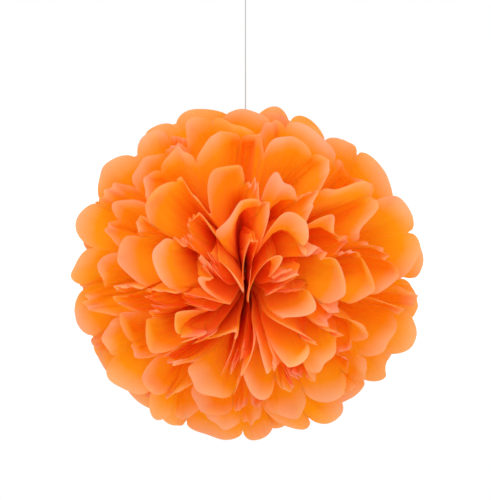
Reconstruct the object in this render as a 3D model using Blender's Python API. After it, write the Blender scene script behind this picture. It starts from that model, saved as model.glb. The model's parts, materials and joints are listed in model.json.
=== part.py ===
# Tissue paper pom pom: twelve pleated tissue sheets, wired together at the waist, fanned into a ball
# and hung on a string. Metres, +Z up. The origin is inside the top of the hanging loop. The ball's
# two poles, where the innermost sheets stand, point along -Y (the front) and +Y (the back). Every
# sheet fans out upwards and downwards from the wire, so its two fans meet along a level seam.

import math
import random

import bmesh
import bpy
from mathutils import Vector

# Tissue sheets, as they are cut and pleated
SHEET_WIDTH = 0.700
SHEET_LENGTH = 0.350
PANELS = 13
PETAL_DEPTH = 0.022
PETAL_ROUNDNESS = 0.75
PAPER = 0.0005
SHEET_CLEARANCE = 0.0007

# How the sheets are fanned out: sheets on each side of the ball, from its pole to its equator
SHEETS_PER_SIDE = 6
POLE_ANGLE = math.radians(12.0)
EQUATOR_ANGLE = math.radians(84.0)
POLE_BOW = math.radians(24.0)
EQUATOR_BOW = math.radians(1.0)
PLEAT_ANGLE_SPREAD = math.radians(2.4)
PLEAT_TURN_SPREAD = 0.14
SHEET_TURN_SPREAD = 0.32
DROOP = 0.007

# How each fan is fluffed: some petals are spread open and cupped, in front of and behind each other,
# and those between them are tucked back and sunk. The innermost sheets are turned into a swirl.
OPEN_PETAL_WIDTH = 0.050
OPEN_PETAL_SHARE = 0.76
OPEN_PETAL_DRIFT_SHARE = 0.35
FEWEST_OPEN_PETALS = 4
MOST_OPEN_PETALS = 8
PETAL_WIDTH_SPREAD = 0.22
PETAL_STAND = math.radians(5.4)
LEAST_STAND_SHARE = 0.25
STAND_SWAP_SHARE = 0.8
TUCKED_STAND_SHARE = 0.6
LEAST_PLEAT_LEFT = 0.30
MOST_PLEAT_LEFT = 0.85
TUCK_DEPTH = 0.026
TUCK_SINK = 0.022
SUNK_BESIDE_OPEN = 0.35
SUNK_BY_TUCK = 0.30
LEAST_SUNK_SHARE = 0.6
NARROW_GATHER = 0.8
TUCK_LEG_SHARE = 0.9
LEAST_TUCK_SHARE = 0.8
MOST_TUCK_SHARE = 1.1
POLE_FULLNESS_SHARE = 1.5
PETAL_CUP = 0.019
LEAST_CUP_LEG_SHARE = 0.35
MOST_CUP_LEG_SHARE = 0.90
CUPS_BACK_SHARE = 0.35
CUP_BACK_SHARE = 0.6
PETAL_LEAN = 0.020
PETAL_LEAN_BACK = 0.007
POLE_PETAL_LEAN = 0.014
POLE_PETAL_LEAN_BACK = 0.026
POLE_LEAN_SHARE = 1.15
EQUATOR_LEAN_SHARE = 0.55
LEAN_LENGTH = 0.046
SHORTEST_PETAL = 0.72
NOTCH_FILL = 0.20
SWIRL = (0.40, 0.20, 0.08)
RIM_CLEARANCE = 0.0030
WANDER = 0.0033
WANDER_LENGTHS = (0.075, 0.150)
WANDER_WAVES = 9
STRING_CALM = 0.030

# The waist, where the wire squeezes the pleats flat: the outermost sheets of the bundle are squeezed
# the narrowest and bend away the soonest
POLE_WAIST_LENGTH = 0.0024
POLE_WAIST_WIDTH = 0.0025
WAIST_LENGTH_STEP = 0.0011
WAIST_WIDTH_STEP = 0.0012
SEAM_AT_RIM = 0.0016

# Waist wire: a loop round all the sheets with twisted ends
WIRE_DIAMETER = 0.0012
WIRE_CLEARANCE = 0.0004
TAIL_LENGTH = 0.014
TAIL_TURNS = 2

# String: it runs up between the two halves from a stopper knot to the loop that the ball hangs by
STRING_DIAMETER = 0.0010
STRING_CLEARANCE = 0.0006
STRING_ABOVE_BALL = 0.101
STRING_POINTS = 26
KNOT_RADIUS = 0.0015
KNOT_CLEARANCE = 0.0011
KNOT_OVERLAP = 0.0007
HANGING_LOOP_RADIUS = 0.0065

TISSUE_ORANGE = (1.0, 0.245, 0.012, 1.0)
STRING_WHITE = (0.82, 0.82, 0.80, 1.0)
WIRE_GREY = (0.60, 0.60, 0.58, 1.0)

# Places that follow from the sizes above, measured from the ball's centre
PANEL_WIDTH = SHEET_WIDTH / PANELS
BALL_RADIUS = SHEET_LENGTH / 2
NOTCH = BALL_RADIUS - PETAL_DEPTH
SHEET_PITCH = PAPER + SHEET_CLEARANCE
INNERMOST_DEPTH = STRING_DIAMETER / 2 + STRING_CLEARANCE + PAPER / 2
BUNDLE_RADIUS = max(
    math.hypot(
        INNERMOST_DEPTH + (SHEETS_PER_SIDE - 1 - number) * SHEET_PITCH + PAPER / 2,
        POLE_WAIST_WIDTH + number * WAIST_WIDTH_STEP,
    )
    for number in range(SHEETS_PER_SIDE)
)
WIRE_RADIUS = BUNDLE_RADIUS + WIRE_CLEARANCE + WIRE_DIAMETER / 2
TAIL_RADIUS = (WIRE_DIAMETER + WIRE_CLEARANCE) / 2
TAIL_FOOT = WIRE_RADIUS + WIRE_DIAMETER
INNERMOST_WAIST_LENGTH = POLE_WAIST_LENGTH + (SHEETS_PER_SIDE - 1) * WAIST_LENGTH_STEP
WEDGE_NEEDED = KNOT_RADIUS + KNOT_CLEARANCE + PAPER / 2 - INNERMOST_DEPTH
STOPPER_DEPTH = INNERMOST_WAIST_LENGTH + WEDGE_NEEDED / math.cos(EQUATOR_ANGLE + EQUATOR_BOW)
HANGING_KNOT = BALL_RADIUS + STRING_ABOVE_BALL
HANGING_LOOP_CENTRE = HANGING_KNOT + KNOT_RADIUS - KNOT_OVERLAP + HANGING_LOOP_RADIUS
HANG_HEIGHT = HANGING_LOOP_CENTRE + HANGING_LOOP_RADIUS - STRING_DIAMETER / 2

ROW_SHARES = (0.0, 0.40, 0.65, 0.85, 1.0)
ROW_CUTS = 1
PETAL_CUTS = 3
FOLDED_SHARE = 0.6
NEAREST_REACH = 0.03
STEEPEST_SLANT = 2.5
CURVE_SIDES = 2
WIRE_SIDES = 1
MERGE = 0.00001


def clear_scene():
    for obj in list(bpy.data.objects):
        bpy.data.objects.remove(obj)


def new_collection(name):
    collection = bpy.data.collections.new(name)
    bpy.context.scene.collection.children.link(collection)
    return collection


def make_material(name, colour, roughness, metallic=0.0):
    material = bpy.data.materials.new(name)
    material.use_nodes = True
    shader = material.node_tree.nodes["Principled BSDF"]
    shader.inputs["Base Color"].default_value = colour
    shader.inputs["Roughness"].default_value = roughness
    shader.inputs["Metallic"].default_value = metallic
    material.diffuse_color = colour
    return material


def add_object(name, data, collection, material, parent):
    obj = bpy.data.objects.new(name, data)
    collection.objects.link(obj)
    data.materials.append(material)
    obj.parent = parent
    return obj


def mix(start, end, share):
    return start + (end - start) * share


def eased(value):
    value = min(max(value, 0.0), 1.0)
    return value * value * (3.0 - 2.0 * value)


# One tissue sheet

def waist_half_length(number):
    return POLE_WAIST_LENGTH + WAIST_LENGTH_STEP * number


def row_stations(number):
    # Distances along the pleats at which the flat sheet has a row of points, tip to tip.
    waist = waist_half_length(number)
    half = [mix(waist, NOTCH, share) for share in ROW_SHARES]
    return [-station for station in reversed(half)] + half


def flat_sheet(number):
    # The sheet laid flat: x runs across the pleats, y along them, with its straight ends at the notches,
    # and z through the paper.
    stations = row_stations(number)
    bm = bmesh.new()
    bmesh.ops.create_grid(bm, x_segments=PANELS, y_segments=len(stations) - 1, size=1.0)
    for vert in bm.verts:
        row = round((vert.co.y + 1) / 2 * (len(stations) - 1))
        vert.co.x = (vert.co.x + 1) / 2 * SHEET_WIDTH
        vert.co.y = stations[row]
    for station, cuts in ((stations[-1], PETAL_CUTS), (stations[-2], ROW_CUTS), (stations[-3], ROW_CUTS)):
        row = [edge for edge in bm.edges if all(abs(abs(v.co.y) - station) < MERGE for v in edge.verts)]
        bmesh.ops.subdivide_edges(bm, edges=row, cuts=cuts)
    bmesh.ops.triangulate(bm, faces=bm.faces)
    raised = bmesh.ops.extrude_face_region(bm, geom=bm.faces[:], use_keep_orig=True)["geom"]
    for vert in bm.verts:
        vert.co.z = -PAPER / 2
    for vert in raised:
        if isinstance(vert, bmesh.types.BMVert):
            vert.co.z = PAPER / 2
    return bm


def sheet_angle(number):
    return mix(POLE_ANGLE, EQUATOR_ANGLE, number / (SHEETS_PER_SIDE - 1))


def pleat_pitch(mean_angle):
    # How far apart neighbouring folds are round the ball at the notches.
    return math.pi * NOTCH * math.sin(mean_angle) / PANELS


def pleat_depth_angle(mean_angle):
    # Half the polar angle that a pleat spans at the notches, so that each panel keeps its width there.
    return math.sqrt(max(PANEL_WIDTH ** 2 - pleat_pitch(mean_angle) ** 2, 0.0)) / (2 * NOTCH)


def sheet_turns(pole):
    # How far, in panels, the rim of each sheet on one side has turned: a little from its neighbour's.
    spread = random.Random(3 * pole + 11)
    turns = [0.0]
    for _ in range(SHEETS_PER_SIDE - 1):
        turns.append(turns[-1] + spread.uniform(-SHEET_TURN_SPREAD, SHEET_TURN_SPREAD))
    return list(reversed(turns))


def pleat_strays(number, pole):
    # How far each fold of the two fans has strayed at the rim: in angle, and in widths of the narrower
    # petal beside it.
    spread = random.Random(100 * number + 7 * pole + 41)
    strays = {}
    for fan in (-1, 1):
        for fold in range(PANELS + 1):
            stray_angle = spread.uniform(-PLEAT_ANGLE_SPREAD, PLEAT_ANGLE_SPREAD)
            stray_turn = 0.0
            if fold not in (0, PANELS):
                stray_turn = spread.uniform(-PLEAT_TURN_SPREAD, PLEAT_TURN_SPREAD)
            strays[fan, fold] = stray_angle, stray_turn
    return strays


def open_petals(spread, number):
    # Which petals of a fan are spread open, and how wide each petal stands at the rim, open or tucked.
    half_round = math.pi * NOTCH * math.sin(sheet_angle(number))
    count = min(max(round(half_round / OPEN_PETAL_WIDTH), FEWEST_OPEN_PETALS), MOST_OPEN_PETALS)
    wide = min(OPEN_PETAL_WIDTH, OPEN_PETAL_SHARE * half_round / count)
    narrow = (half_round - count * wide) / (PANELS - count)
    middles = [step + 0.5 + spread.uniform(-OPEN_PETAL_DRIFT_SHARE, OPEN_PETAL_DRIFT_SHARE) for step in range(count)]
    places = {min(int(middle * PANELS / count), PANELS - 1) for middle in middles}
    widths = [
        (wide if panel in places else narrow) * spread.uniform(1 - PETAL_WIDTH_SPREAD, 1 + PETAL_WIDTH_SPREAD)
        for panel in range(PANELS)
    ]
    full = half_round / sum(widths)
    return places, [width * full for width in widths]


def fluffed_fan(spread, number):
    # For each fold of one fan its share of the pleat depth, its shift and its room to stray in panels, its
    # stand and how far it is sunk at the rim, and for each petal its tuck, cup, lean and length.
    innermost = 1 - min(number, 2) / 2
    fullness = mix(1.0, POLE_FULLNESS_SHARE, innermost)
    lean_back = mix(PETAL_LEAN_BACK, POLE_PETAL_LEAN_BACK, innermost)
    lean = mix(PETAL_LEAN, POLE_PETAL_LEAN, innermost)
    leaning = mix(POLE_LEAN_SHARE, EQUATOR_LEAN_SHARE, number / (SHEETS_PER_SIDE - 1))
    places, widths = open_petals(spread, number)
    half_round = sum(widths)
    side = spread.choice((-1, 1))
    stands = {}
    for panel in sorted(places):
        stands[panel] = side * spread.uniform(LEAST_STAND_SHARE, 1.0) * PETAL_STAND
        side = -side if spread.random() < STAND_SWAP_SHARE else side
    folds = []
    for fold in range(PANELS + 1):
        left = spread.uniform(LEAST_PLEAT_LEFT, MOST_PLEAT_LEFT)
        beside = [stands[panel] for panel in (fold - 1, fold) if panel in places]
        stand, sunk = sum(beside) / max(len(beside), 1), SUNK_BESIDE_OPEN if len(beside) == 1 else 0.0
        if not beside and fold not in (0, PANELS):
            stand, sunk = TUCKED_STAND_SHARE * TUCK_DEPTH / NOTCH, spread.uniform(LEAST_SUNK_SHARE, 1.0)
        shift = sum(widths[:fold]) / half_round * PANELS - fold
        room = min(min(widths[max(fold - 1, 0):fold + 1]) / half_round * PANELS, 1.0)
        folds.append((left * room ** NARROW_GATHER, shift, room, stand, sunk))
    petals = []
    for panel in range(PANELS):
        leg = math.sqrt(max(PANEL_WIDTH ** 2 - widths[panel] ** 2, 0.0)) / 2
        tuck = min(TUCK_LEG_SHARE * leg, TUCK_DEPTH * fullness) * spread.uniform(LEAST_TUCK_SHARE, MOST_TUCK_SHARE)
        tuck *= min(widths[panel] / half_round * PANELS, 1.0) ** NARROW_GATHER
        cup = min(spread.uniform(LEAST_CUP_LEG_SHARE, MOST_CUP_LEG_SHARE) * leg, PETAL_CUP * fullness)
        cup *= -CUP_BACK_SHARE if spread.random() < CUPS_BACK_SHARE else 1.0
        tip = spread.uniform(-lean_back, lean) * leaning
        length = spread.uniform(SHORTEST_PETAL, 1.0)
        petals.append((0.0, cup, tip, length) if panel in places else (tuck, 0.0, tip, length))
    return folds, petals


def sheet_form(number, pole):
    # Everything that differs from fold to fold and from petal to petal on one sheet, for its two fans.
    spread = random.Random(5000 + 100 * number + 7 * pole)
    strays = pleat_strays(number, pole)
    sheet_turn = sheet_turns(pole)[number]
    form = {}
    for fan in (-1, 1):
        folds, petals = fluffed_fan(spread, number)
        strayed = []
        for fold, (left, shift, room, stand, sunk) in enumerate(folds):
            stray_angle, stray_turn = strays[fan, fold]
            strayed.append((left, shift, fan * sheet_turn + room * stray_turn, stray_angle + stand, sunk))
        form[fan] = strayed, petals
    return form


def wander_waves():
    # One slow irregularity through the whole ball, so that neighbouring sheets wander together.
    spread = random.Random(77)
    waves = []
    for _ in range(WANDER_WAVES):
        direction = Vector((spread.gauss(0, 1), spread.gauss(0, 1), spread.gauss(0, 1))).normalized()
        push = Vector((spread.gauss(0, 1), spread.gauss(0, 1), spread.gauss(0, 1))).normalized()
        length = spread.uniform(*WANDER_LENGTHS)
        waves.append((direction * 2 * math.pi / length, spread.uniform(0, 2 * math.pi), push))
    return waves


def wandered(point, opened, waves):
    shift = Vector((0.0, 0.0, 0.0))
    for wave, phase, push in waves:
        shift += math.sin(point.dot(wave) + phase) * push
    beside_string = 1 - math.exp(-(point.x ** 2 + point.y ** 2) / STRING_CALM ** 2)
    return point + shift * WANDER * opened ** 2 * beside_string


def placed(point, number, pole, form, waves):
    # Where a point of the flat sheet lies once the sheet is pleated, tied, fanned out and fluffed. The
    # paper's thickness is laid off towards the equator, so that even the sharpest pleat keeps its two
    # sides apart. Beyond the folded part, a sheet keeps to its own band of angles, clear of the next.
    fan = 1 if point.y > 0 else -1
    folds, petals = form[fan]
    waist = waist_half_length(number)
    panel = min(int(point.x / PANEL_WIDTH + MERGE), PANELS - 1)
    share = point.x / PANEL_WIDTH - panel
    window = max(math.sin(math.pi * share), 0.0) if MERGE < share < 1 - MERGE else 0.0
    tuck, cup, tip, length = petals[panel]
    cut = NOTCH_FILL + (length - NOTCH_FILL) * window ** PETAL_ROUNDNESS
    outwards = (abs(point.y) - waist) / (NOTCH - waist)
    along = outwards * (NOTCH - waist + PETAL_DEPTH * cut)
    reach = along + waist
    opened = along / (BALL_RADIUS - waist)
    folded = eased(opened / FOLDED_SHARE)
    mean_angle = sheet_angle(number)
    depth = pleat_depth_angle(mean_angle)
    ends = []
    for fold in (panel, panel + 1):
        left, shift, stray_turn, stray_angle, sunk = folds[fold]
        side = 1 if fold % 2 == 0 else -1
        ends.append(Vector((
            -pole * side * depth * mix(1.0, left, folded) + stray_angle * opened ** 2,
            math.pi / PANELS * (fold + stray_turn * opened ** 2 + shift * opened ** 3),
            sunk,
        )))
    level, turn, sunk = ends[0].lerp(ends[1], share)
    leaning = eased((reach - BALL_RADIUS + LEAN_LENGTH) / LEAN_LENGTH)
    away = (tuck + cup) * window * opened ** 2 + tip * leaning * window
    aside = level + away / max(reach, NEAREST_REACH)
    half_band = (EQUATOR_ANGLE - POLE_ANGLE) / (SHEETS_PER_SIDE - 1) / 2
    half_gap = RIM_CLEARANCE / 2 / max(reach, NEAREST_REACH)
    band = mix(2 * half_band, half_band - half_gap, folded)
    room = mix(2 * half_band, math.pi / 2 - EQUATOR_ANGLE - half_gap, folded)
    highest = min(band, room) if number == SHEETS_PER_SIDE - 1 else band
    bow = mix(POLE_BOW, EQUATOR_BOW, number / (SHEETS_PER_SIDE - 1))
    angle = mean_angle + bow * (1 - opened) ** 2 + min(max(aside, -band), highest)
    turn += fan * (SWIRL[number] if number < len(SWIRL) else 0.0) * opened ** 2
    ray = Vector((
        -math.sin(angle) * math.cos(turn), pole * math.cos(angle), fan * math.sin(angle) * math.sin(turn),
    ))
    if opened < MERGE:
        thickness = Vector((0.0, -pole, 0.0))
    else:
        slant = min(PANEL_WIDTH / pleat_pitch(mean_angle), STEEPEST_SLANT)
        thickness = slant * Vector((
            -math.cos(angle) * math.cos(turn), -pole * math.sin(angle), fan * math.cos(angle) * math.sin(turn),
        ))
    tucked = min(sunk + SUNK_BY_TUCK * tuck / TUCK_DEPTH * window, 1.0)
    along -= TUCK_SINK * tucked * opened ** 6
    seam = mix(waist, SEAM_AT_RIM, opened)
    width = (POLE_WAIST_WIDTH + WAIST_WIDTH_STEP * number) * (2 * point.x / SHEET_WIDTH - 1)
    pole_depth = pole * (INNERMOST_DEPTH + (SHEETS_PER_SIDE - 1 - number) * SHEET_PITCH)
    droop = DROOP * (1 - ray.z ** 2) * opened ** 2
    start = Vector((width, pole_depth, fan * seam - droop))
    return wandered(start + ray * along, opened, waves) + thickness * point.z


def make_sheet(name, number, pole, collection, material, parent):
    bm = flat_sheet(number)
    form, waves = sheet_form(number, pole), wander_waves()
    for vert in bm.verts:
        vert.co = placed(vert.co, number, pole, form, waves)
    bmesh.ops.recalc_face_normals(bm, faces=bm.faces)
    mesh = bpy.data.meshes.new(name)
    bm.to_mesh(mesh)
    bm.free()
    mesh.shade_smooth()
    return add_object(name, mesh, collection, material, parent)


# Wire and string

def tube_curve(name, points, diameter, sides):
    curve = bpy.data.curves.new(name, "CURVE")
    curve.dimensions = "3D"
    curve.bevel_depth = diameter / 2
    curve.bevel_resolution = sides
    curve.use_fill_caps = True
    spline = curve.splines.new("POLY")
    spline.points.add(len(points) - 1)
    for target, point in zip(spline.points, points):
        target.co = (*point, 1.0)
    return curve


def waist_wire_route():
    # One wire: in along one strand of the twisted tail, round the waist, and out along the other.
    steps_round = 8
    strand = []
    for step in range(TAIL_TURNS * steps_round + 1):
        turn = 2 * math.pi * step / steps_round
        reach = TAIL_FOOT + TAIL_LENGTH * step / (TAIL_TURNS * steps_round)
        strand.append(Vector((-reach, -TAIL_RADIUS * math.cos(turn), TAIL_RADIUS * math.sin(turn))))
    waist_steps = 28
    waist_gap = 2
    waist = [
        Vector((
            -WIRE_RADIUS * math.cos(2 * math.pi * step / waist_steps),
            -WIRE_RADIUS * math.sin(2 * math.pi * step / waist_steps),
            0.0,
        ))
        for step in range(waist_gap, waist_steps - waist_gap + 1)
    ]
    other_strand = [Vector((point.x, -point.y, -point.z)) for point in strand]
    return list(reversed(strand)) + waist + other_strand


def make_waist_wire(collection, material, parent):
    curve = tube_curve("waist_wire", waist_wire_route(), WIRE_DIAMETER, WIRE_SIDES)
    return add_object("waist_wire", curve, collection, material, parent)


def make_string(collection, material, parent):
    foot = -STOPPER_DEPTH + KNOT_RADIUS + STRING_CLEARANCE
    head = HANGING_KNOT - KNOT_RADIUS - STRING_CLEARANCE
    points = [Vector((0.0, 0.0, mix(foot, head, i / (STRING_POINTS - 1)))) for i in range(STRING_POINTS)]
    curve = tube_curve("hanging_string", points, STRING_DIAMETER, CURVE_SIDES)
    return add_object("hanging_string", curve, collection, material, parent)


def make_knot(name, height, collection, material, parent):
    bpy.ops.mesh.primitive_ico_sphere_add(subdivisions=2, radius=KNOT_RADIUS, location=(0, 0, height))
    return adopt(bpy.context.object, name, collection, material, parent)


def adopt(obj, name, collection, material, parent):
    for holder in list(obj.users_collection):
        holder.objects.unlink(obj)
    collection.objects.link(obj)
    obj.name = obj.data.name = name
    obj.data.materials.append(material)
    obj.data.shade_smooth()
    obj.parent = parent
    return obj


def make_hanging_loop(collection, material, parent, cutters):
    # A ring of string and the knot that closes it, joined into one solid.
    bpy.ops.mesh.primitive_torus_add(
        major_radius=HANGING_LOOP_RADIUS, minor_radius=STRING_DIAMETER / 2,
        major_segments=24, minor_segments=8,
        location=(0, 0, HANGING_LOOP_CENTRE), rotation=(math.pi / 2, 0, 0),
    )
    loop = adopt(bpy.context.object, "hanging_loop", collection, material, parent)
    knot = make_knot("hanging_knot_shape", HANGING_KNOT, cutters, material, parent)
    knot.hide_render = True
    knot.display_type = "WIRE"
    join = loop.modifiers.new("knot", "BOOLEAN")
    join.operation = "UNION"
    join.object = knot
    return loop


def main():
    clear_scene()
    pom_pom = new_collection("tissue_paper_pom_pom")
    cutters = new_collection("helper_shapes")
    tissue = make_material("tissue", TISSUE_ORANGE, 0.62)
    string = make_material("string", STRING_WHITE, 0.85)
    wire = make_material("wire", WIRE_GREY, 0.35, 1.0)
    ball = bpy.data.objects.new("ball_centre", None)
    ball.location = (0.0, 0.0, -HANG_HEIGHT)
    pom_pom.objects.link(ball)
    for side, pole in (("front", -1), ("back", 1)):
        for number in range(SHEETS_PER_SIDE):
            make_sheet(f"{side}_sheet_{number + 1}", number, pole, pom_pom, tissue, ball)
    make_waist_wire(pom_pom, wire, ball)
    make_string(pom_pom, string, ball)
    make_knot("stopper_knot", -STOPPER_DEPTH, pom_pom, string, ball)
    make_hanging_loop(pom_pom, string, ball, cutters)


main()
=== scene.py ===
# Tissue paper pom pom, dressed for its picture: twelve pleated tissue sheets wired at the waist,
# fanned into a ball and hung on a white string.

import json
import math
import random

import bpy
import numpy as np
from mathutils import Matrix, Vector

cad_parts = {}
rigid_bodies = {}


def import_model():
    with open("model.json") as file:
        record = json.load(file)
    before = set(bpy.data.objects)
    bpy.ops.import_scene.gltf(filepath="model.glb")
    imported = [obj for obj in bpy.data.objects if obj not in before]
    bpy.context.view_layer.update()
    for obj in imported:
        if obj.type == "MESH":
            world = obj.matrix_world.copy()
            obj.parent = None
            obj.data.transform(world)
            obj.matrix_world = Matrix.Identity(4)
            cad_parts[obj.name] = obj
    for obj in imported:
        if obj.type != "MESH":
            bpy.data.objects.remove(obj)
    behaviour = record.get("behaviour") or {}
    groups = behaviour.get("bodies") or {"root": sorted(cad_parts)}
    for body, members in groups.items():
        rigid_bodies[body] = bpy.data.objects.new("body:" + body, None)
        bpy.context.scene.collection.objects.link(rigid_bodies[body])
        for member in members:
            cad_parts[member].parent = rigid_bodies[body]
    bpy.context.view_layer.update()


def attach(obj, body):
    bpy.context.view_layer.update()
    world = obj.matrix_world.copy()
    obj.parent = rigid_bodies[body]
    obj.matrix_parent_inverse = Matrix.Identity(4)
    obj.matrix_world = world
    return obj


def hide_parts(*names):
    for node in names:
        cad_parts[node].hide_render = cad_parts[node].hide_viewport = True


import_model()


def mix(start, end, share):
    return start + (end - start) * share


def deselectAll():
    for obj in bpy.context.view_layer.objects:
        obj.select_set(False)


def smoothRise(value):
    value = np.clip(value, 0.0, 1.0)
    return value * value * (3.0 - 2.0 * value)


# camera: a little above the ball's middle

cameraLook = {
    "lens": 100.0,           # mm
    "target": (0.0, 0.0, -0.270),
    "distance": 1.345,
    "elevation": 10.0,       # degrees
}


def placeCamera():
    turn = math.radians(cameraLook["elevation"])
    target = Vector(cameraLook["target"])
    eye = target + cameraLook["distance"] * Vector((0.0, -math.cos(turn), math.sin(turn)))
    bpy.ops.object.camera_add(location=eye)
    camera = bpy.context.object
    camera.name = "photoCamera"
    camera.rotation_euler = (target - eye).to_track_quat("-Z", "Y").to_euler()
    camera.data.lens = cameraLook["lens"]
    camera.data.clip_start = 0.01
    bpy.context.scene.camera = camera


deselectAll()
placeCamera()
print("camera placed")


# materials

class Socket:
    # one socket of a material, so that maths on it reads as a formula

    def __init__(self, tree, socket):
        self.tree = tree
        self.socket = socket

    def node(self, kind, settings=None, values=None, output=0):
        made = self.tree.nodes.new(kind)
        for name, value in (settings or {}).items():
            if name == "stops":
                ramp = made.color_ramp
                while len(ramp.elements) < len(value):
                    ramp.elements.new(0.5)
                for element, (place, colour) in zip(ramp.elements, value):
                    element.position = place
                    element.color = (*colour, 1.0)
            else:
                setattr(made, name, value)
        for name, value in (values or {}).items():
            target = made.inputs[name]
            if isinstance(value, Socket):
                self.tree.links.new(value.socket, target)
            else:
                target.default_value = value
        return Socket(self.tree, made.outputs[output]) if made.outputs else None

    def maths(self, operation, *others):
        values = {place: value for place, value in enumerate(others)}
        return self.node("ShaderNodeMath", {"operation": operation}, values)

    def __add__(self, other):
        return self.maths("ADD", self, other)

    def __radd__(self, other):
        return self.maths("ADD", other, self)

    def __sub__(self, other):
        return self.maths("SUBTRACT", self, other)

    def __rsub__(self, other):
        return self.maths("SUBTRACT", other, self)

    def __mul__(self, other):
        return self.maths("MULTIPLY", self, other)

    def __rmul__(self, other):
        return self.maths("MULTIPLY", other, self)

    def __truediv__(self, other):
        return self.maths("DIVIDE", self, other)

    def sine(self):
        return self.maths("SINE", self)

    def clamped(self):
        return self.node("ShaderNodeClamp", {}, {"Value": self})


def newMaterial(name):
    material = bpy.data.materials.new(name)
    material.use_nodes = True
    tree = material.node_tree
    tree.nodes.clear()
    return material, Socket(tree, None)


def blend(start, factor, first, second):
    # two colours, mixed
    return start.node(
        "ShaderNodeMix", {"data_type": "RGBA"}, {0: factor, 6: first, 7: second}, output=2,
    )


def dress(obj, material):
    obj.data.materials.clear()
    obj.data.materials.append(material)


tissueLook = {
    "colour": (0.998, 0.325, 0.004, 1.0),
    "cloudColour": (0.998, 0.295, 0.003, 1.0),
    "paintedRecessLightColour": (0.998, 0.640, 0.008, 1.0),   # painted light: a lighter colour deep inside, so that the shaded recesses near the waist stay orange
    "recessLightUpTo": 0.112,        # metres from the waist
    "recessLightOver": 0.050,
    "creaseColour": (0.995, 0.430, 0.050, 1.0),
    # painted highlight at the cut edges: a paler colour that stands in for light shining through a single
    # layer of paper
    "paintedRimHighlightColour": (0.998, 0.670, 0.490, 1.0),
    "paintedHighlightFrom": 0.151,
    "paintedHighlightOver": 0.024,
    "paintedRimHighlight": 0.9,
    "creasePaleness": 0.55,
    "creaseFade": 26.0,       # in each panel, so a crease fades out in two millimetres
    "throughColour": (0.998, 0.455, 0.006, 1.0),
    "through": 0.50,          # share of the light that passes the paper
    "throughCloud": 0.10,
    "roughness": 0.72,
    "shine": 0.10,
    "sheen": 0.18,
    "sheenRoughness": 0.55,
    "sheenTint": (1.0, 0.70, 0.48, 1.0),
    "cloudSize": 0.012,
    "fibreSize": 0.0011,
    "crumpleSize": 0.017,
    "crumpleHeight": 0.00045,
    "bumpStrength": 0.55,
}


def tissueMaterial(sheetWidth, sheetLength, panelCount):
    material, start = newMaterial("tissuePaper")
    flat = start.node("ShaderNodeTexCoord", output="UV")
    paper = start.node(                               # metres on the flat sheet
        "ShaderNodeMapping", {}, {"Vector": flat, "Scale": (sheetWidth, sheetLength, 1.0)},
    )
    cloud = start.node(
        "ShaderNodeTexNoise", {},
        {"Vector": paper, "Scale": 1 / tissueLook["cloudSize"], "Detail": 4.0, "Roughness": 0.6},
    )
    fibres = start.node(
        "ShaderNodeTexNoise", {},
        {"Vector": paper, "Scale": 1 / tissueLook["fibreSize"], "Detail": 3.0, "Roughness": 0.7,
         "Distortion": 1.6},
    )
    crumple = start.node(
        "ShaderNodeTexVoronoi", {"feature": "DISTANCE_TO_EDGE"},
        {"Vector": paper, "Scale": 1 / tissueLook["crumpleSize"], "Randomness": 1.0},
    )
    across = start.node("ShaderNodeSeparateXYZ", {}, {"Vector": flat}, output="X") * panelCount
    offTheFold = start.maths("PINGPONG", across, 0.5)
    crease = (1.0 - offTheFold * tissueLook["creaseFade"]).clamped()
    length = start.node("ShaderNodeSeparateXYZ", {}, {"Vector": flat}, output="Y")
    fromWaist = start.maths("ABSOLUTE", length - 0.5) * sheetLength
    # painted highlight: towards the cut edge the paper turns paler, standing in for light through its single
    # outer layer
    rim = ((fromWaist - tissueLook["paintedHighlightFrom"]) / tissueLook["paintedHighlightOver"] + cloud * 0.3 - 0.15).clamped()
    mottle = (cloud * 0.8 + fibres * 0.3 - 0.05).clamped()
    tint = blend(start, mottle, tissueLook["cloudColour"], tissueLook["colour"])
    # painted light: near the waist the colour turns lighter, standing in for light in the shaded recesses deep
    # inside the ball
    paintedRecessLight = (1.0 - (fromWaist - tissueLook["recessLightUpTo"]) / tissueLook["recessLightOver"]).clamped()
    tint = blend(start, paintedRecessLight, tint, tissueLook["paintedRecessLightColour"])
    tint = blend(start, crease * tissueLook["creasePaleness"], tint, tissueLook["creaseColour"])
    tint = blend(start, rim * tissueLook["paintedRimHighlight"], tint, tissueLook["paintedRimHighlightColour"])
    height = cloud * 0.45 + fibres * 0.10 + (crumple * 2.2).clamped() * 0.55 + crease * 0.35
    bump = start.node(
        "ShaderNodeBump", {},
        {"Strength": tissueLook["bumpStrength"], "Distance": tissueLook["crumpleHeight"], "Height": height},
    )
    face = start.node("ShaderNodeBsdfPrincipled", {}, {
        "Base Color": tint, "Roughness": tissueLook["roughness"], "Normal": bump,
        "Specular IOR Level": tissueLook["shine"], "Sheen Weight": tissueLook["sheen"],
        "Sheen Roughness": tissueLook["sheenRoughness"], "Sheen Tint": tissueLook["sheenTint"],
    })
    through = start.node(
        "ShaderNodeBsdfTranslucent", {}, {"Color": tissueLook["throughColour"], "Normal": bump},
    )
    share = tissueLook["through"] - tissueLook["throughCloud"] * 0.5 + cloud * tissueLook["throughCloud"]
    paperShader = start.node("ShaderNodeMixShader", {}, {0: share, 1: face, 2: through})
    start.node("ShaderNodeOutputMaterial", {}, {"Surface": paperShader})
    return material


threadLook = {
    "colour": (0.60, 0.62, 0.62, 1.0),
    # painted shade for the grooves between the twisted plies
    "paintedGrooveShade": (0.38, 0.40, 0.40, 1.0),
    "plies": 3,
    "twistLength": 0.0042,     # one ply's full turn round the string
    "height": 0.00012,
    "bumpStrength": 0.9,
    "fluffScale": 2600.0,
    "roughness": 0.85,
    "shine": 0.25,
    "sheen": 0.10,
}


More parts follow.
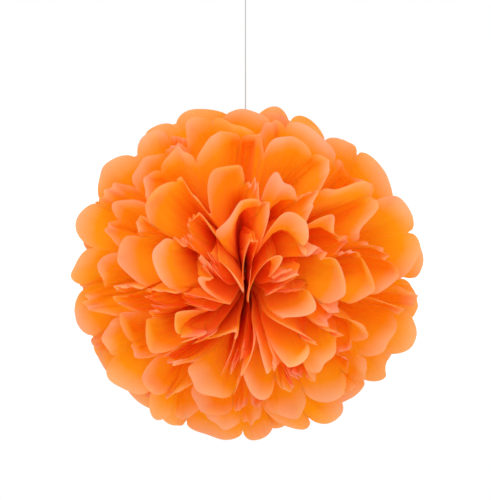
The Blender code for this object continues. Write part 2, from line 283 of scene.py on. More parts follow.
def threadMaterial():
    material, start = newMaterial("stringCotton")
    place = start.node("ShaderNodeTexCoord", output="Object")
    east = start.node("ShaderNodeSeparateXYZ", {}, {"Vector": place}, output="X")
    north = start.node("ShaderNodeSeparateXYZ", {}, {"Vector": place}, output="Y")
    height = start.node("ShaderNodeSeparateXYZ", {}, {"Vector": place}, output="Z")
    aroundString = start.maths("ARCTAN2", north, east)
    climb = 2 * math.pi * threadLook["plies"] / threadLook["twistLength"]
    twist = (aroundString * threadLook["plies"] + height * climb).sine()
    fluff = start.node(
        "ShaderNodeTexNoise", {},
        {"Vector": place, "Scale": threadLook["fluffScale"], "Detail": 3.0, "Roughness": 0.65},
    )
    # painted shade: the grooves between the twisted plies take the darker colour
    groove = (twist * 0.5 + 0.5).clamped()
    tint = blend(start, (groove * 0.7 + fluff * 0.3).clamped(), threadLook["paintedGrooveShade"], threadLook["colour"])
    bump = start.node(
        "ShaderNodeBump", {},
        {"Strength": threadLook["bumpStrength"], "Distance": threadLook["height"],
         "Height": groove * 0.8 + fluff * 0.2},
    )
    face = start.node("ShaderNodeBsdfPrincipled", {}, {
        "Base Color": tint, "Roughness": threadLook["roughness"], "Normal": bump,
        "Specular IOR Level": threadLook["shine"], "Sheen Weight": threadLook["sheen"], "Sheen Roughness": 0.5,
    })
    start.node("ShaderNodeOutputMaterial", {}, {"Surface": face})
    return material


wireLook = {
    "colour": (0.62, 0.62, 0.60, 1.0),
    "dull": (0.40, 0.40, 0.39, 1.0),
    "spangleScale": 900.0,
    "drawnScale": 3800.0,       # fine marks of the die
    "drawnHeight": 0.00005,
}


def wireMaterial():
    material, start = newMaterial("galvanisedWire")
    place = start.node("ShaderNodeTexCoord", output="Object")
    spangle = start.node(
        "ShaderNodeTexNoise", {},
        {"Vector": place, "Scale": wireLook["spangleScale"], "Detail": 4.0, "Roughness": 0.6},
    )
    drawn = start.node(
        "ShaderNodeTexNoise", {},
        {"Vector": place, "Scale": wireLook["drawnScale"], "Detail": 2.0, "Roughness": 0.5},
    )
    tint = blend(start, (spangle * 1.4 - 0.2).clamped(), wireLook["dull"], wireLook["colour"])
    bump = start.node(
        "ShaderNodeBump", {}, {"Strength": 0.3, "Distance": wireLook["drawnHeight"], "Height": drawn},
    )
    face = start.node("ShaderNodeBsdfPrincipled", {}, {
        "Base Color": tint, "Metallic": 1.0, "Roughness": spangle * 0.3 + 0.24, "Normal": bump,
    })
    start.node("ShaderNodeOutputMaterial", {}, {"Surface": face})
    return material


# sizes that the pieces share with the solids, in metres

ball = {
    "sheetWidth": 0.700,
    "sheetLength": 0.350,
    "panels": 13,
    "petalDepth": 0.022,
    "petalRoundness": 0.75,
    "paper": 0.0005,
    "sheetClearance": 0.0007,
    "sheetsPerSide": 6,
    "poleAngle": math.radians(12.0),
    "equatorAngle": math.radians(84.0),
    "poleBow": math.radians(24.0),
    "equatorBow": math.radians(1.0),
    "pleatAngleSpread": math.radians(2.4),
    "pleatTurnSpread": 0.14,
    "sheetTurnSpread": 0.32,
    "droop": 0.007,
    "poleWaistLength": 0.0024,
    "poleWaistWidth": 0.0025,
    "waistLengthStep": 0.0011,
    "waistWidthStep": 0.0012,
    "seamAtRim": 0.0016,
    "hangHeight": 0.2893,
}
panelWidth = ball["sheetWidth"] / ball["panels"]
ballRadius = ball["sheetLength"] / 2
notchRadius = ballRadius - ball["petalDepth"]

stringLook = {
    "diameter": 0.0010,
    "clearance": 0.0006,
    "points": 26,
    "knotRadius": 0.0015,
    "knotInset": 0.0004,        # about half the thickness of a tightened strand
    "loopRadius": 0.0065,
    "stopperHeight": -0.3144,   # the middle of the stopper knot
    "knotHeight": -0.0133,      # the middle of the knot under the hanging loop
    "loopHeight": -0.0060,      # the middle of the hanging loop
}

thread = threadMaterial()


def tubeCurve(name, points, diameter, closed=False, resolution=5):
    data = bpy.data.curves.new(name, "CURVE")
    data.dimensions = "3D"
    data.bevel_depth = diameter / 2
    data.bevel_resolution = resolution
    data.use_fill_caps = not closed
    spline = data.splines.new("POLY")
    spline.points.add(len(points) - 1)
    for target, point in zip(spline.points, points):
        target.co = (*point, 1.0)
    spline.use_cyclic_u = closed
    spline.use_smooth = True
    obj = bpy.data.objects.new(name, data)
    bpy.context.scene.collection.objects.link(obj)
    return obj


def asMesh(obj):
    deselectAll()
    obj.select_set(True)
    bpy.context.view_layer.objects.active = obj
    bpy.ops.object.convert(target="MESH")
    obj = bpy.context.object
    obj.data.shade_smooth()
    return obj


def joined(name, objects):
    deselectAll()
    for obj in objects:
        obj.select_set(True)
    bpy.context.view_layer.objects.active = objects[0]
    bpy.ops.object.join()
    obj = bpy.context.object
    obj.name = obj.data.name = name
    return obj


def overhandKnot(name, height):
    # a tight overhand knot, seen as three crossing strands
    size = stringLook["knotRadius"] - stringLook["knotInset"]
    steps = 90
    points = []
    for step in range(steps):
        turn = 2 * math.pi * step / steps
        points.append(Vector((
            size * (math.sin(turn) + 2 * math.sin(2 * turn)) / 3,
            size * (math.cos(turn) - 2 * math.cos(2 * turn)) / 3,
            height - size * 0.62 * math.sin(3 * turn),
        )))
    return asMesh(tubeCurve(name, points, stringLook["diameter"] * 0.86, closed=True, resolution=3))


def hangingStringPiece():
    foot = stringLook["stopperHeight"] + stringLook["knotRadius"] + stringLook["clearance"]
    head = stringLook["knotHeight"] - stringLook["knotRadius"] - stringLook["clearance"]
    count = stringLook["points"]
    points = [Vector((0.0, 0.0, mix(foot, head, step / (count - 1)))) for step in range(count)]
    return tubeCurve("hangingString", points, stringLook["diameter"]), foot, head


def hangingLoopPiece():
    steps = 96
    ring = [
        Vector((
            stringLook["loopRadius"] * math.sin(2 * math.pi * step / steps), 0.0,
            stringLook["loopHeight"] - stringLook["loopRadius"] * math.cos(2 * math.pi * step / steps),
        ))
        for step in range(steps)
    ]
    loop = asMesh(tubeCurve("hangingLoop", ring, stringLook["diameter"], closed=True, resolution=4))
    knot = overhandKnot("loopKnot", stringLook["knotHeight"])
    return joined("hangingLoop", [loop, knot])


hangingString, stringFoot, stringHead = hangingStringPiece()
stopperKnot = overhandKnot("stopperKnot", stringLook["stopperHeight"])
hangingLoop = hangingLoopPiece()
stringPieces = {"hanging_string": hangingString, "stopper_knot": stopperKnot, "hanging_loop": hangingLoop}
for node, piece in stringPieces.items():
    dress(piece, thread)
    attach(piece, "root")
    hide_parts(node)
print("string, knots and loop made")


# the tissue sheets

ruffle = {
    "columnsPerPanel": 26,
    "rowsPerFan": 44,
    "deepestFold": math.radians(44.0),
    "poleRoom": math.radians(1.0),
    "poleLean": math.radians(8.0),   # how much further the innermost sheets bow out of each other's way
    "rowCrowding": 0.82,        # rows of points stand closer towards the rim
    "openingLate": 2.5,         # pleats open mostly near the rim
    "roundness": 0.90,          # how far a fold has opened to a curve at the rim
    "roundsEarly": 1.15,
    "pleatLeft": (0.30, 0.85),  # share of the full pleat depth left between two folds at the rim
    "openPetal": 0.050,         # widest that an opened petal spreads
    "openShare": 0.76,
    "openDrift": 0.35,          # how far an opened petal strays from an even spacing
    "petalsOpen": (4, 8),       # opened petals on the innermost and the outermost fans
    "widthSpread": 0.22,
    "stand": math.radians(5.4), # opened petals stand in front of and behind each other
    "leastStand": 0.25,
    "standSwaps": 0.8,
    "tuckedStand": 0.6,
    "tuck": 0.026,              # how far the petals between them are tucked back
    "tuckOfLeg": 0.9,           # and the most that their paper allows
    "tuckSpread": (0.8, 1.1),
    "sink": 0.034,              # and how much lower their tips then stand
    "sunkBesideOpen": 0.30,
    "sunkByTuck": 0.30,
    "sunkBetweenTucked": (0.6, 1.0),
    "sinkLate": 6,
    "narrowGather": 0.8,        # narrow petals are gathered to flatter folds
    "cup": (0.35, 0.90),        # how deep an opened petal is cupped, as a share of what its paper allows
    "deepestCup": 0.019,
    "cupBackwards": 0.35,       # share of petals that bulge towards the pole instead
    "backwardCup": -0.6,
    "poleFullness": 1.5,        # the innermost petals have the least room to spread
    "lean": (-0.007, 0.020),    # how far a petal's tip leans away from the pole
    "poleLeans": (-0.026, 0.014),
    "leanBySheet": (1.15, 0.55),
    "leanLength": 0.046,
    "length": (0.72, 1.0),      # hand-cut petals differ in length
    "notchFill": 0.20,
    "swirl": (0.40, 0.20, 0.08),  # how far the innermost sheets are turned at the rim, in radians
    "rimClearance": 0.0030,
    "bandSlack": math.radians(1.5),
    "bandFrom": 0.50,           # share of the way to the rim where each sheet's own band begins
    "bandOver": 0.45,
    "nearestReach": 0.03,
    "stringCalm": 0.030,
    "wander": 0.0033,
    "wanderLengths": (0.075, 0.150),
    "wanderWaves": 9,
}

frill = {
    "twist": 0.010,
    "roll": (0.0010, 0.0060),   # the last millimetres of the edge
    "rollLength": 0.012,
    "ripple": (0.0010, 0.0040),
    "ripplesAcross": (2.2, 4.6),
    "skew": 0.14,
    "petalRoundness": 0.52,
    "curl": (-0.024, -0.026, -0.020),   # innermost opened petals, whose tips bend away from the pole
    "curlSpread": (0.5, 1.0),
    "poleGap": math.radians(0.2),
    "poleFolds": 0.55,          # the innermost sheet has opened its folds further
    "poleSunk": 0.25,           # and its tucked petals stand higher
    "gather": 0.0039,           # small folds of a tucked petal
    "gathers": 3,
    "gatherSpread": (0.7, 1.2),
    "poleGather": 1.7,
    "crush": 0.0016,            # wrinkles of the gathered paper near the waist
    "crushWaves": 5.0,          # in each panel
    "gap": 0.0012,              # paper keeps this far from the next sheet
    "stringRoom": 0.012,
    "softness": math.radians(0.7),
}

frontPole, backPole = -1, 1


def sheetAngle(number):
    return mix(ball["poleAngle"], ball["equatorAngle"], number / (ball["sheetsPerSide"] - 1))


def sheetTurns(pole):
    # how far, in panels, the rim of each sheet on one side has turned: as in the solids
    spread = random.Random(3 * pole + 11)
    turns = [0.0]
    for _ in range(ball["sheetsPerSide"] - 1):
        turns.append(turns[-1] + spread.uniform(-ball["sheetTurnSpread"], ball["sheetTurnSpread"]))
    return list(reversed(turns))


def foldStrays(number, pole):
    # how far each fold has strayed at the rim, drawn as the solids draw it: in angle, and in widths of the
    # narrower petal beside it
    spread = random.Random(100 * number + 7 * pole + 41)
    panels = ball["panels"]
    angles = np.zeros((2, panels + 1))
    turns = np.zeros((2, panels + 1))
    for fan in (-1, 1):
        for fold in range(panels + 1):
            row = (fan + 1) // 2
            angles[row, fold] = spread.uniform(-ball["pleatAngleSpread"], ball["pleatAngleSpread"])
            if fold not in (0, panels):
                turns[row, fold] = spread.uniform(-ball["pleatTurnSpread"], ball["pleatTurnSpread"])
    return angles, turns


def openPetals(spread, number):
    # which petals of a fan are spread open, and how wide each petal stands at the rim
    panels = ball["panels"]
    halfRound = math.pi * notchRadius * math.sin(sheetAngle(number))
    fewest, most = ruffle["petalsOpen"]
    count = int(np.clip(round(halfRound / ruffle["openPetal"]), fewest, most))
    wide = min(ruffle["openPetal"], ruffle["openShare"] * halfRound / count)
    narrow = (halfRound - count * wide) / (panels - count)
    drift = ruffle["openDrift"]
    middles = [step + 0.5 + spread.uniform(-drift, drift) for step in range(count)]
    places = {min(int(middle * panels / count), panels - 1) for middle in middles}
    isOpen = np.array([panel in places for panel in range(panels)])
    uneven = ruffle["widthSpread"]
    widths = np.array([
        (wide if isOpen[panel] else narrow) * spread.uniform(1 - uneven, 1 + uneven)
        for panel in range(panels)
    ])
    return isOpen, widths / widths.sum() * halfRound


def petalDraws(number, pole):
    # the main forms of one sheet, drawn as the solids draw them
    spread = random.Random(5000 + 100 * number + 7 * pole)
    panels = ball["panels"]
    openness = number / (ball["sheetsPerSide"] - 1)
    innermost = 1 - min(number, 2) / 2
    fullness = mix(1.0, ruffle["poleFullness"], innermost)
    lean = [mix(low, high, innermost) for low, high in zip(ruffle["lean"], ruffle["poleLeans"])]
    draws = {name: np.zeros((2, panels)) for name in ("tuck", "cup", "lean", "length", "open")}
    for name in ("left", "shift", "room", "stand", "sunk"):
        draws[name] = np.zeros((2, panels + 1))
    for row in range(2):
        isOpen, widths = openPetals(spread, number)
        places = np.concatenate([[0.0], np.cumsum(widths)]) / widths.sum() * panels
        draws["shift"][row] = places - np.arange(panels + 1)
        draws["open"][row] = isOpen
        side = spread.choice((-1, 1))
        stands = {}
        for panel in np.flatnonzero(isOpen):
            stands[panel] = side * spread.uniform(ruffle["leastStand"], 1.0) * ruffle["stand"]
            side = -side if spread.random() < ruffle["standSwaps"] else side
        for fold in range(panels + 1):
            room = min(min(widths[max(fold - 1, 0):fold + 1]) / widths.sum() * panels, 1.0)
            draws["room"][row, fold] = room
            draws["left"][row, fold] = spread.uniform(*ruffle["pleatLeft"]) * room ** ruffle["narrowGather"]
            beside = [stands[panel] for panel in (fold - 1, fold) if panel in stands]
            draws["stand"][row, fold] = sum(beside) / max(len(beside), 1)
            draws["sunk"][row, fold] = ruffle["sunkBesideOpen"] if len(beside) == 1 else 0.0
            if not beside and fold not in (0, panels):
                draws["stand"][row, fold] = ruffle["tuckedStand"] * ruffle["tuck"] / notchRadius
                draws["sunk"][row, fold] = spread.uniform(*ruffle["sunkBetweenTucked"])
        for panel in range(panels):
            leg = math.sqrt(max(panelWidth ** 2 - widths[panel] ** 2, 0.0)) / 2
            tuck = min(ruffle["tuckOfLeg"] * leg, ruffle["tuck"] * fullness)
            tuck *= spread.uniform(*ruffle["tuckSpread"])
            tuck *= min(widths[panel] / widths.sum() * panels, 1.0) ** ruffle["narrowGather"]
            cup = min(spread.uniform(*ruffle["cup"]) * leg, ruffle["deepestCup"] * fullness)
            cup *= ruffle["backwardCup"] if spread.random() < ruffle["cupBackwards"] else 1.0
            draws["lean"][row, panel] = spread.uniform(*lean) * mix(*ruffle["leanBySheet"], openness)
            draws["length"][row, panel] = spread.uniform(*ruffle["length"])
            draws["tuck" if not isOpen[panel] else "cup"][row, panel] = cup if isOpen[panel] else tuck
    return draws


def frillDraws(number, pole):
    # the small forms of one sheet, which only the paper has
    spread = random.Random(9000 + 100 * number + 7 * pole)
    ranges = {
        "twist": (-frill["twist"], frill["twist"]), "roll": frill["roll"],
        "skew": (-frill["skew"], frill["skew"]), "phase": (0, 2 * math.pi),
        "ripple": frill["ripple"], "ripples": frill["ripplesAcross"],
        "curl": frill["curlSpread"], "gather": frill["gatherSpread"],
    }
    return {
        name: np.array([[spread.uniform(*limits) for _ in range(ball["panels"])] for _ in range(2)])
        for name, limits in ranges.items()
    }


def wanderWaves():
    spread = random.Random(77)
    waves = []
    for _ in range(ruffle["wanderWaves"]):
        direction = Vector((spread.gauss(0, 1), spread.gauss(0, 1), spread.gauss(0, 1))).normalized()
        push = Vector((spread.gauss(0, 1), spread.gauss(0, 1), spread.gauss(0, 1))).normalized()
        length = spread.uniform(*ruffle["wanderLengths"])
        phase = spread.uniform(0, 2 * math.pi)
        waves.append((np.array(direction) * 2 * math.pi / length, phase, np.array(push)))
    return waves


waves = wanderWaves()


def wandered(points, opened):
    # one slow irregularity through the whole ball, so that neighbouring sheets wander together
    shift = np.zeros_like(points)
    for wave, phase, push in waves:
        shift += np.sin(points @ wave + phase)[..., None] * push
    besideString = 1 - np.exp(-(points[..., 0] ** 2 + points[..., 1] ** 2) / ruffle["stringCalm"] ** 2)
    return points + shift * ruffle["wander"] * (opened ** 2 * besideString)[..., None]


def atLeast(value, limit):
    # value, eased so that it never falls under limit
    softness = frill["softness"]
    return limit + softness * np.logaddexp(0.0, (value - limit) / softness)


def fannedOut(number, pole, fan, strays, draws):
    # one fan of one sheet: for a grid of points from the waist to the cut edge, the distance along the
    # pleat, the polar angle and the turn round the ball
    panels = ball["panels"]
    drawn = {name: values[fan] for name, values in draws.items()}
    way = 1 if fan else -1
    strayAngle = strays[0][fan]
    strayTurn = way * sheetTurns(pole)[number] + drawn["room"] * strays[1][fan]
    waist = ball["poleWaistLength"] + ball["waistLengthStep"] * number
    columns = ruffle["columnsPerPanel"] * panels
    across = np.arange(columns + 1) / ruffle["columnsPerPanel"]
    panel = np.minimum(across.astype(int), panels - 1)
    share = across - panel
    window = np.sin(math.pi * share)

    # the cut edge
    skew = share + drawn["skew"][panel] * window * (1 - np.abs(2 * share - 1))
    bulge = np.sin(math.pi * np.clip(skew, 0, 1)) ** frill["petalRoundness"]
    fill = ruffle["notchFill"]
    edge = notchRadius + ball["petalDepth"] * (fill + (drawn["length"][panel] - fill) * bulge)
    beyond = np.linspace(0.0, 1.0, ruffle["rowsPerFan"] + 1)[:, None] ** ruffle["rowCrowding"]
    along = (edge - waist)[None, :] * beyond
    opened = along / (ballRadius - waist)
    reach = along + waist

    # fold lines: their polar angle and turn
    innermost = 1 - min(number, 2) / 2
    openness = number / (ball["sheetsPerSide"] - 1)
    mean = sheetAngle(number)
    bow = mix(ball["poleBow"], ball["equatorBow"], openness) + ruffle["poleLean"] * innermost
    middle = mean + bow * (1 - opened) ** 2
    pitch = math.pi * np.maximum(along, 0.001) * math.sin(mean) / panels
    depth = np.sqrt(np.maximum(panelWidth ** 2 - pitch ** 2, 0.0)) / (2 * np.maximum(along, 0.001))
    depth = np.minimum(depth, ruffle["deepestFold"])
    depth = np.minimum(depth, np.maximum(middle - ruffle["poleRoom"], 0.02))
    folded = opened ** ruffle["openingLate"]
    left = drawn["left"] * (frill["poleFolds"] if number == 0 else 1.0)

    def fold(place):
        side = np.where(place % 2 == 0, 1.0, -1.0)
        level = -pole * side * depth * mix(1.0, left[place], folded)
        level = level + (strayAngle[place] + drawn["stand"][place]) * opened ** 2
        turn = place + strayTurn[place] * opened ** 2 + drawn["shift"][place] * opened ** 3
        return level, turn * math.pi / panels, drawn["sunk"][place]

    levelA, turnA, sunkA = fold(panel)
    levelB, turnB, sunkB = fold(panel + 1)
    rounded = ruffle["roundness"] * smoothRise(opened * ruffle["roundsEarly"])
    easy = mix(share, 0.5 - 0.5 * np.cos(math.pi * share), rounded)
    level = mix(levelA, levelB, easy)
    turn = mix(turnA, turnB, share) + np.zeros_like(along)

    # each petal's own cup, lean, twist and rolled edge, all nothing at its two folds
    petal = smoothRise((reach - ballRadius + ruffle["leanLength"]) / ruffle["leanLength"])
    rim = np.clip(1 - (edge - reach) / frill["rollLength"], 0, 1) ** 2
    away = (drawn["cup"][panel] * window ** 1.1 + drawn["tuck"][panel] * window ** 1.2) * opened ** 2
    away = away + drawn["lean"][panel] * petal * window ** 0.7
    away = away + drawn["twist"][panel] * petal * np.sin(2 * math.pi * share)
    away = away + drawn["roll"][panel] * rim * window ** 0.5
    ripples = np.sin(math.pi * drawn["ripples"][panel] * share + drawn["phase"][panel])
    away = away + drawn["ripple"][panel] * petal * ripples * window ** 0.7
    if number < len(frill["curl"]):
        curl = frill["curl"][number] * drawn["open"][panel] * drawn["curl"][panel]
        away = away - curl * petal ** 1.6 * window ** 0.6
    crushed = np.sin(2 * math.pi * frill["crushWaves"] * across + number) * (1 - folded)
    away = away + frill["crush"] * crushed * smoothRise(reach / ruffle["nearestReach"])
    gathered = np.sin(2 * math.pi * frill["gathers"] * share)
    gathered = gathered * (1 - drawn["open"][panel]) * drawn["gather"][panel]
    away = away + frill["gather"] * mix(1.0, frill["poleGather"], innermost) * gathered * opened ** 1.5
    aside = level + away / np.maximum(reach, ruffle["nearestReach"])

    # towards the rim a sheet keeps to its own band of angles
    halfBand = (ball["equatorAngle"] - ball["poleAngle"]) / (ball["sheetsPerSide"] - 1) / 2
    halfGap = ruffle["rimClearance"] / 2 / np.maximum(reach, ruffle["nearestReach"])
    near = smoothRise((opened - ruffle["bandFrom"]) / ruffle["bandOver"])
    band = mix(4 * halfBand, halfBand + ruffle["bandSlack"], near)
    lowest, highest = -band, band
    if number == 0:
        lowest = mix(ruffle["poleRoom"], frill["poleGap"], near) - middle
    if number == ball["sheetsPerSide"] - 1:
        highest = mix(band, np.minimum(band, math.pi / 2 - middle - halfGap), near)
    angle = middle - atLeast(-atLeast(aside, lowest), -highest)

    if number < len(ruffle["swirl"]):
        turn = turn + way * ruffle["swirl"][number] * opened ** 2
    tucked = mix(sunkA, sunkB, share)
    tucked = tucked + ruffle["sunkByTuck"] * drawn["tuck"][panel] / ruffle["tuck"] * window
    tucked = np.clip(tucked, 0, 1) * (frill["poleSunk"] if number == 0 else 1.0)
    sunk = ruffle["sink"] * tucked * opened ** ruffle["sinkLate"]
    return {"along": along, "angle": angle, "turn": turn, "opened": opened, "sunk": sunk, "across": across}


def settle(fans):
    # the sheets lean on each other: none passes through its neighbours
    last = ball["sheetsPerSide"] - 1

    def angleOf(sheet, row, turns):
        order = np.argsort(sheet["turn"][row])
        return np.interp(turns, sheet["turn"][row][order], sheet["angle"][row][order])

    def besideString(sheet, row):
        offTheString = (sheet["turn"][row] - math.pi / 2) * sheet["along"][row]
        return np.exp(-(offTheString / frill["stringRoom"]) ** 2)

    for fan in (0, 1):
        for row in range(1, ruffle["rowsPerFan"] + 1):
            for pole in (frontPole, backPole):
                first = fans[pole, 0][fan]
                gap = frill["gap"] / max(float(first["along"][row].mean()), ruffle["nearestReach"])
                first["angle"][row] = atLeast(first["angle"][row], 0.5 * gap)
                for number in range(1, last + 1):
                    inner, outer = fans[pole, number - 1][fan], fans[pole, number][fan]
                    limit = angleOf(inner, row, outer["turn"][row]) + gap
                    outer["angle"][row] = atLeast(outer["angle"][row], limit)
            front, back = fans[frontPole, last][fan], fans[backPole, last][fan]
            frontMeets = (front["angle"][row] + math.pi - angleOf(back, row, front["turn"][row])) / 2
            backMeets = (back["angle"][row] + math.pi - angleOf(front, row, back["turn"][row])) / 2
            if fan == 1:
                frontMeets = mix(frontMeets, math.pi / 2, besideString(front, row))
                backMeets = mix(backMeets, math.pi / 2, besideString(back, row))
            front["angle"][row] = -atLeast(-front["angle"][row], gap / 2 - frontMeets)
            back["angle"][row] = -atLeast(-back["angle"][row], gap / 2 - backMeets)
            for pole in (frontPole, backPole):
                for number in range(last - 1, -1, -1):
                    inner, outer = fans[pole, number][fan], fans[pole, number + 1][fan]
                    limit = angleOf(outer, row, inner["turn"][row]) - gap
                    inner["angle"][row] = -atLeast(-inner["angle"][row], -limit)


def inPlace(sheet, number, pole, fan):
    way = 1 if fan else -1
    waist = ball["poleWaistLength"] + ball["waistLengthStep"] * number
    angle, turn, opened = sheet["angle"], sheet["turn"], sheet["opened"]
    ray = np.stack([
        -np.sin(angle) * np.cos(turn), pole * np.cos(angle), way * np.sin(angle) * np.sin(turn),
    ], axis=-1)
    width = ball["poleWaistWidth"] + ball["waistWidthStep"] * number
    width = width * (2 * sheet["across"] / ball["panels"] - 1)
    innermost = stringLook["diameter"] / 2 + stringLook["clearance"] + ball["paper"] / 2
    sheetPitch = ball["paper"] + ball["sheetClearance"]
    deep = pole * (innermost + (ball["sheetsPerSide"] - 1 - number) * sheetPitch)
    droop = ball["droop"] * (1 - ray[..., 2] ** 2) * opened ** 2
    start = np.stack([
        width + np.zeros_like(angle),
        np.full_like(angle, deep),
        way * mix(waist, ball["seamAtRim"], opened) - droop,
    ], axis=-1)
    points = wandered(start + ray * (sheet["along"] - sheet["sunk"])[..., None], opened)
    points[..., 2] -= ball["hangHeight"]
    return points


def tissueSheet(name, node, number, pole, fans, material):
    deselectAll()
    columns = ruffle["columnsPerPanel"] * ball["panels"]
    rows = ruffle["rowsPerFan"]
    bpy.ops.mesh.primitive_grid_add(x_subdivisions=columns, y_subdivisions=2 * rows + 1, size=2.0)
    obj = bpy.context.object
    obj.name = obj.data.name = name
    mesh = obj.data
    flat = np.empty(len(mesh.vertices) * 3)
    mesh.vertices.foreach_get("co", flat)
    flat = np.round(flat.reshape(-1, 3), 5)
    order = np.lexsort((flat[:, 0], flat[:, 1]))
    lower, upper = (inPlace(fans[fan], number, pole, fan) for fan in (0, 1))
    points = np.empty_like(flat)
    points[order] = np.concatenate([lower[::-1], upper]).reshape(-1, 3)
    mesh.vertices.foreach_set("co", points.ravel())

    # the flat sheet is its UV map
    waist = ball["poleWaistLength"] + ball["waistLengthStep"] * number
    length = np.concatenate([-(waist + fans[0]["along"])[::-1], waist + fans[1]["along"]])
    length = length / ball["sheetLength"] + 0.5
    across = np.broadcast_to(fans[0]["across"] / ball["panels"], length.shape)
    places = np.empty((len(flat), 2))
    places[order] = np.stack([across, length], axis=-1).reshape(-1, 2)
    corners = np.empty(len(mesh.loops), dtype=np.int32)
    mesh.loops.foreach_get("vertex_index", corners)
    mesh.uv_layers[0].data.foreach_set("uv", places[corners].ravel())
    mesh.update()
    mesh.shade_smooth()
    dress(obj, material)
    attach(obj, "root")
    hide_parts(node)
    return obj


# waist wire

wireShape = {"diameter": 0.0012, "clearance": 0.0004, "tailLength": 0.014, "tailTurns": 2}


def waistWirePiece():
    # in along one strand of the twisted tail, round the waist, and out along the other
    innermost = stringLook["diameter"] / 2 + stringLook["clearance"] + ball["paper"] / 2
    sheetPitch = ball["paper"] + ball["sheetClearance"]
    bundle = max(
        math.hypot(
            innermost + (ball["sheetsPerSide"] - 1 - number) * sheetPitch + ball["paper"] / 2,
            ball["poleWaistWidth"] + number * ball["waistWidthStep"],
        )
        for number in range(ball["sheetsPerSide"])
    )
    radius = bundle + wireShape["clearance"] + wireShape["diameter"] / 2
    tailRadius = (wireShape["diameter"] + wireShape["clearance"]) / 2
    tailFoot = radius + wireShape["diameter"]
    stepsRound = 24
    strand = []
    for step in range(wireShape["tailTurns"] * stepsRound + 1):
        turn = 2 * math.pi * step / stepsRound
        out = tailFoot + wireShape["tailLength"] * step / (wireShape["tailTurns"] * stepsRound)
        strand.append(Vector((-out, -tailRadius * math.cos(turn), tailRadius * math.sin(turn))))
    waistSteps, gap = 84, 6
    waist = [
        Vector((
            -radius * math.cos(2 * math.pi * step / waistSteps),
            -radius * math.sin(2 * math.pi * step / waistSteps), 0.0,
        ))
        for step in range(gap, waistSteps - gap + 1)
    ]
    other = [Vector((point.x, -point.y, -point.z)) for point in strand]
    points = list(reversed(strand)) + waist + other
    drop = Vector((0.0, 0.0, -ball["hangHeight"]))
    points = [point + drop for point in points]
    return asMesh(tubeCurve("waistWire", points, wireShape["diameter"], resolution=4))


waistWire = waistWirePiece()
dress(waistWire, wireMaterial())
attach(waistWire, "root")
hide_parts("waist_wire")
print("waist wire made")

tissue = tissueMaterial(ball["sheetWidth"], ball["sheetLength"], ball["panels"])
sheets = [
    (side, pole, number)
    for side, pole in (("front", frontPole), ("back", backPole)) for number in range(ball["sheetsPerSide"])
]
fans = {}
for side, pole, number in sheets:
    strays, draws = foldStrays(number, pole), petalDraws(number, pole) | frillDraws(number, pole)
    fans[pole, number] = [fannedOut(number, pole, fan, strays, draws) for fan in (0, 1)]
settle(fans)
for side, pole, number in sheets:
    name, node = f"{side}Tissue{number + 1}", f"{side}_sheet_{number + 1}"
    tissueSheet(name, node, number, pole, fans[pole, number], tissue)
print("tissue sheets made")


# light, floor and white surroundings

studio = {
    "floorHeight": -0.78,
    "floorRadius": 6.0,
    "floorColour": (0.90, 0.90, 0.90, 1.0),
    "floorLift": (0.14, 0.40),  # near the object and far from it
    "liftRise": 0.7,            # in each metre, from one metre out
    "worldLight": 0.90,
    "keyPower": 6.0,
    "keyPlace": (-0.40, -0.85, 1.10),
    "keySize": 1.1,
    "fillPower": 3.0,
    "fillPlace": (0.35, -1.70, -0.10),
    "fillSize": 0.9,
    "bounces": 32,
    "paperBounces": 26,         # light passes many layers of paper before it leaves the ball
}


def whiteForCamera(start):
    rays = {}
    for name in ("Is Camera Ray", "Is Glossy Ray", "Is Transmission Ray"):
        rays[name] = start.node("ShaderNodeLightPath", output=name)
    return (rays["Is Camera Ray"] + rays["Is Glossy Ray"] + rays["Is Transmission Ray"]).clamped()


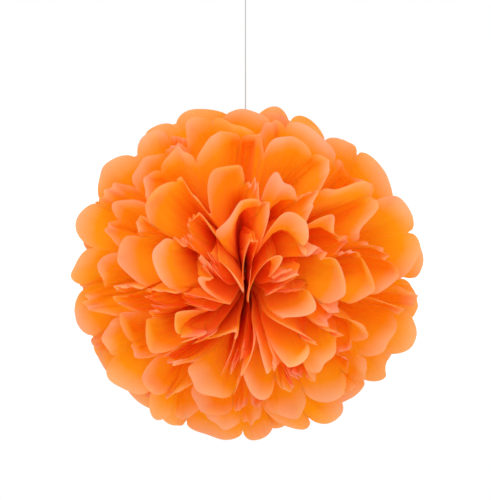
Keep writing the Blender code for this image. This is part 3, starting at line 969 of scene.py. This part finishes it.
def makeWorld():
    world = bpy.data.worlds.new("whiteStudio")
    bpy.context.scene.world = world
    world.use_nodes = True
    tree = world.node_tree
    tree.nodes.clear()
    start = Socket(tree, None)
    white = (1.0, 1.0, 1.0, 1.0)
    light = start.node("ShaderNodeBackground", {}, {"Color": white, "Strength": studio["worldLight"]})
    shown = start.node("ShaderNodeBackground", {}, {"Color": white, "Strength": 1.0})
    both = start.node("ShaderNodeMixShader", {}, {0: whiteForCamera(start), 1: light, 2: shown})
    start.node("ShaderNodeOutputWorld", {}, {"Surface": both})


def makeFloor():
    deselectAll()
    bpy.ops.mesh.primitive_circle_add(
        vertices=96, radius=studio["floorRadius"], fill_type="NGON",
        location=(0.0, 0.0, studio["floorHeight"]),
    )
    floor = bpy.context.object
    floor.name = "studioFloor"
    material, start = newMaterial("paleFloor")
    matt = start.node("ShaderNodeBsdfDiffuse", {}, {"Color": studio["floorColour"]})
    near, far = (
        start.node("ShaderNodeAddShader", {}, {
            0: matt,
            1: start.node("ShaderNodeEmission", {}, {"Color": (1.0, 1.0, 1.0, 1.0), "Strength": lift}),
        })
        for lift in studio["floorLift"]
    )
    place = start.node("ShaderNodeTexCoord", output="Object")
    away = start.node("ShaderNodeVectorMath", {"operation": "LENGTH"}, {0: place}, output="Value")
    farOut = (away * studio["liftRise"] - studio["liftRise"]).clamped()
    lifted = start.node("ShaderNodeMixShader", {}, {0: farOut, 1: near, 2: far})
    both = start.node("ShaderNodeMixShader", {}, {0: whiteForCamera(start), 1: matt, 2: lifted})
    start.node("ShaderNodeOutputMaterial", {}, {"Surface": both})
    dress(floor, material)


def softLamp(name, place, power, size):
    deselectAll()
    bpy.ops.object.light_add(type="AREA", location=place)
    lamp = bpy.context.object
    lamp.name = name
    lamp.data.energy = power
    lamp.data.shape = "DISK"
    lamp.data.size = size
    aim = Vector((0.0, 0.0, -ball["hangHeight"])) - Vector(place)
    lamp.rotation_euler = aim.to_track_quat("-Z", "Y").to_euler()


makeWorld()
makeFloor()
softLamp("keyLamp", studio["keyPlace"], studio["keyPower"], studio["keySize"])
softLamp("fillLamp", studio["fillPlace"], studio["fillPower"], studio["fillSize"])
print("studio made")

scene = bpy.context.scene
scene.view_settings.view_transform = "Standard"
scene.cycles.max_bounces = studio["bounces"]
scene.cycles.diffuse_bounces = studio["paperBounces"]
scene.cycles.transmission_bounces = studio["paperBounces"]
